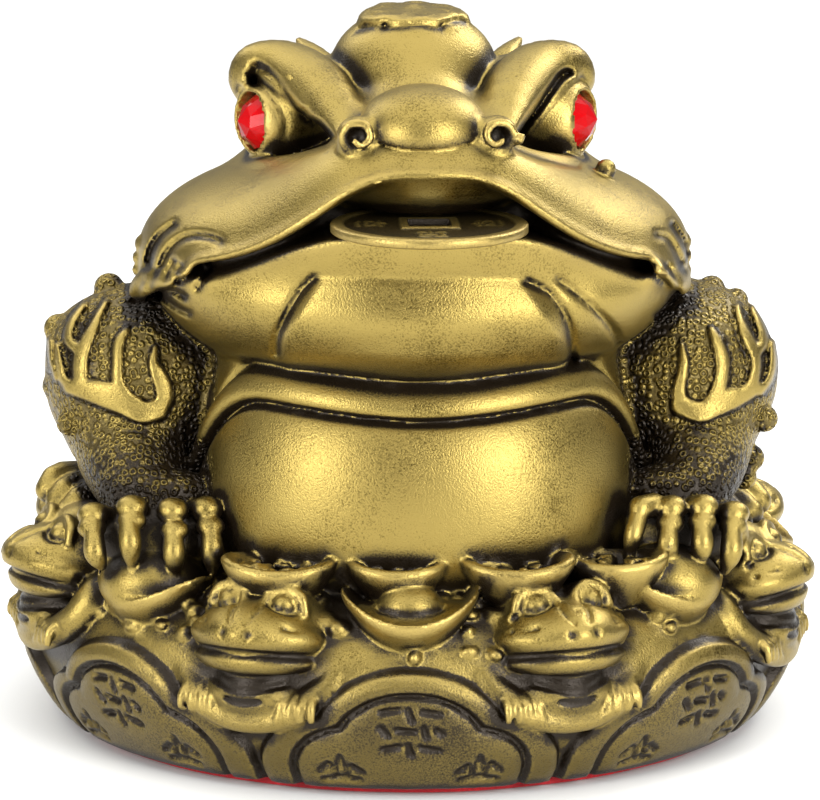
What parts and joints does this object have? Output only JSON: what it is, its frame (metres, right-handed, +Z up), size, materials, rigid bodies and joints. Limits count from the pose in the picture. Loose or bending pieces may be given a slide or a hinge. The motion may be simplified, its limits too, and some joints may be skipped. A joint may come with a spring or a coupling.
{
  "type": "money toad figure",
  "caption": "Cast brass toad figure holding a coin in its mouth, crouching on a round bowl-shaped base edged with petals, ingots and small toads.",
  "frame": {"origin": "centre of the felt pad's underside, where the figure stands", "axes": "+Z up, -Y to the front of the toad, +X to the toad's left, which is the right in a front view"},
  "size_m": [0.1206, 0.1187, 0.1079],
  "materials": {
    "brass": "sand-cast antique brass, dark patina left in the hollows and the high spots rubbed bright",
    "coin_brass": "struck coin, worn bright on its rims",
    "red_glass": "cut and polished, foiled behind",
    "red_felt": "short-napped felt"
  },
  "bodies": {
    "root": {"toad_casting": "brass", "eye_gem_left": "red_glass", "eye_gem_right": "red_glass", "mouth_coin": "coin_brass", "felt_pad": "red_felt"}
  },
  "joints": []
}
